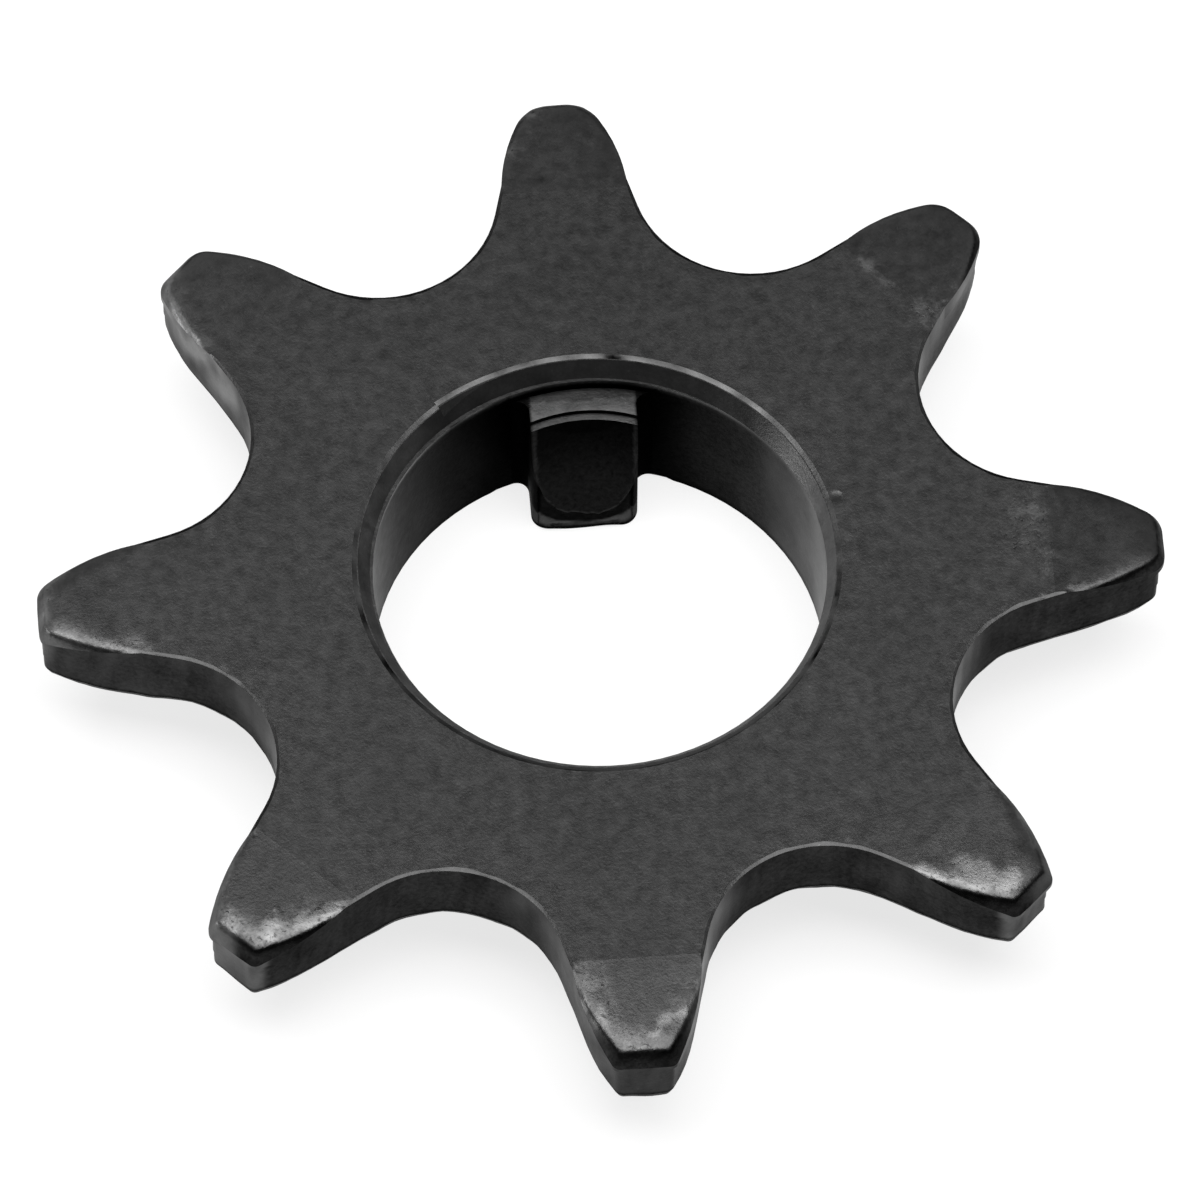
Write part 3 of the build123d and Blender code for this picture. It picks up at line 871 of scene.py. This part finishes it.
def shades_of(s):
    """For each corner: rubbed bare with painted highlight, tone (how bright the steel is, 1 on the flat
    face, with its painted light and shade) and dull.
    """
    plate = on_plate(s)
    tone = face_tone(s, plate)
    wall = plate * (1 - smooth(np.abs(s.rise), UPRIGHT, 0.4))
    tone = tone * (1 - wall) + wall_tone(s) * wall
    # painted shade on the downward slopes under the plate's edge
    lower = plate * (s.z < 3.75) * smooth(-s.rise, 0.15, 0.3) * smooth(s.rise, -0.97, -0.85)
    tone *= 1 - 0.93 * lower
    tone *= edge_tone(s, plate)

    angle = np.degrees(np.arctan2(s.y - BORE_CENTRE[1], s.x - BORE_CENTRE[0]))
    off_tang = np.abs((angle - 90 + 180) % 360 - 180)
    east = smooth(s.x, -3, 3)
    west = 1 - east
    inner = (s.r < BORE_REACH) & (s.rise < 0.9)
    in_mouth = smooth(s.z, MOUTH_Z - 0.15, MOUTH_Z + 0.15)
    bore = inner * (1 - in_mouth)
    cone = inner * in_mouth * (1 - smooth(s.rise, 0.85, 0.92))
    tone = tone * (1 - bore) + bore_tone(s, off_tang, east, west) * bore
    tone *= mouth_tone(s, cone, off_tang, east, west)
    tone = tang_tone(s, tone)

    sides = on_tang(s) * smooth(np.abs(s.facing[:, 0]), 0.4, 0.8)
    sides = sides + (np.abs(s.x) < 2.4) * (s.y > 6.5) * bore
    dull = np.maximum(np.clip(sides, 0, 1), cone * smooth(off_tang, 60, 110))
    return {"rubbed_and_highlight": rubbed_and_highlight_at(s), "tone": np.clip(tone, 0.01, 4), "dull": dull}


def build_skin():
    """One closed mesh that stands for the solid, with its wear."""
    points, triangles, normals, outline = dense_surface()
    spots = measure(points, outline)
    moved = worn_points(spots)
    change = vertex_normals(moved, triangles) - vertex_normals(points, triangles)
    # shades are kept for each triangle's corners, so that they end sharply at creases
    corners = measure_corners(spots, triangles, normals)
    normals = unit(corners.facing + change[triangles.reshape(-1)])

    mesh = bpy.data.meshes.new("sprocket_skin")
    mesh.from_pydata((moved * MM).tolist(), [], triangles.tolist())
    for name, values in shades_of(corners).items():
        data = mesh.attributes.new(name, "FLOAT", "CORNER").data
        data.foreach_set("value", values.astype(np.float32))
    mesh.normals_split_custom_set(normals.tolist())
    skin = bpy.data.objects.new("sprocket_skin", mesh)
    bpy.context.scene.collection.objects.link(skin)
    return skin


# ---------------------------------------------------------------- steel
STEEL_LEVEL = 0.0670         # what the untouched flat face reflects
# the rubbed level also paints the highlight on the rubbed places
RUBBED_AND_HIGHLIGHT_LEVEL = 0.085         # and how much more where it is rubbed bare
BUMP_DEPTH = 0.02 * MM


def steel_material():
    """Dark scaled steel, mottled and specked, rubbed bare with a painted highlight and pitted where the
    part is worn, with the skin's painted light and shade in its colour.
    """
    material = bpy.data.materials.new("dark_steel")
    n = Nodes(material)
    out = n.add("ShaderNodeOutputMaterial")
    shader = n.add("ShaderNodeBsdfPrincipled")
    n.put(out.inputs["Surface"], shader.outputs[0])
    shader.inputs["Metallic"].default_value = 1.0
    shader.inputs["Specular Tint"].default_value = grey(0.5)

    scaled = n.add("ShaderNodeVectorMath", operation="SCALE")
    n.put(scaled.inputs[0], n.add("ShaderNodeTexCoord").outputs["Object"])
    scaled.inputs["Scale"].default_value = 1 / MM
    place = scaled.outputs[0]

    clouds = n.noise(place, 0.45, 3.0, 0.55)
    mottle = n.noise(place, 2.2, 4.0, 0.6)
    grain = n.noise(place, 9.0, 3.0, 0.65)
    specks = n.noise(place, 6.5, 2.0, 0.5)
    pits = n.noise(place, 6.0, 5.0, 0.62, 0.6)
    rubbed_and_highlight, shade, dull = (n.attribute(name) for name in ("rubbed_and_highlight", "tone", "dull"))

    # the scale: clouds, mottling and grain, light specks and dark ones
    tone = n.math("ADD", n.centred(clouds, 0.30), 1.0)
    tone = n.math("ADD", tone, n.centred(mottle, 0.40))
    tone = n.math("ADD", tone, n.centred(grain, 0.45))
    tone = n.math("ADD", tone, n.ramp(specks, 0.70, 0.80, 0.0, 0.5))
    tone = n.math("MULTIPLY", tone, n.ramp(specks, 0.20, 0.27, 0.65, 1.0))
    gritty = n.math("MULTIPLY", n.ramp(shade, 0.2, 0.8, 1.0, 0.0), n.centred(pits, 2.2))
    tone = n.math("ADD", tone, gritty)

    # rubbed places with their painted highlight: bright, with a ragged border and dark pits
    ragged = n.math("ADD", n.centred(mottle, 1.1), n.centred(grain, 1.2))
    bright = n.math("MULTIPLY", n.ramp(n.math("ADD", rubbed_and_highlight, ragged), 0.10, 1.0), rubbed_and_highlight)
    pitted = n.ramp(pits, 0.33, 0.43, 0.45, 1.0)
    pitted = n.math("ADD", pitted, n.ramp(rubbed_and_highlight, 0.05, 0.4, 1.0, 0.0), clamp=True)

    # the skin's tone brings painted light and shade into the colour
    level = n.math("MULTIPLY", n.math("MULTIPLY", tone, STEEL_LEVEL), shade)
    level = n.math("ADD", level, n.math("MULTIPLY", bright, RUBBED_AND_HIGHLIGHT_LEVEL))
    level = n.math("MULTIPLY", level, pitted)
    colour = n.add("ShaderNodeCombineColor")
    for k in range(3):
        n.put(colour.inputs[k], level)
    n.put(shader.inputs["Base Color"], colour.outputs[0])
    rough = n.ramp(mottle, 0.3, 0.7, 0.30, 0.38, kind="LINEAR")
    n.put(shader.inputs["Roughness"], n.math("MULTIPLY_ADD", dull, 0.35, rough))

    bump = n.add("ShaderNodeBump")
    bump.inputs["Strength"].default_value = 0.35
    bump.inputs["Distance"].default_value = BUMP_DEPTH
    n.put(bump.inputs["Height"], n.math("MULTIPLY_ADD", pitted, 0.6, grain))
    n.put(shader.inputs["Normal"], bump.outputs[0])
    return material


# ---------------------------------------------------------------- scene
add_camera()
set_world()
for lamp in LAMPS:
    add_lamp(*lamp)
add_floor()

skin = build_skin()
skin.data.materials.append(steel_material())
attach(skin, "root")
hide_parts("sprocket")

bpy.context.scene.view_settings.view_transform = "Standard"
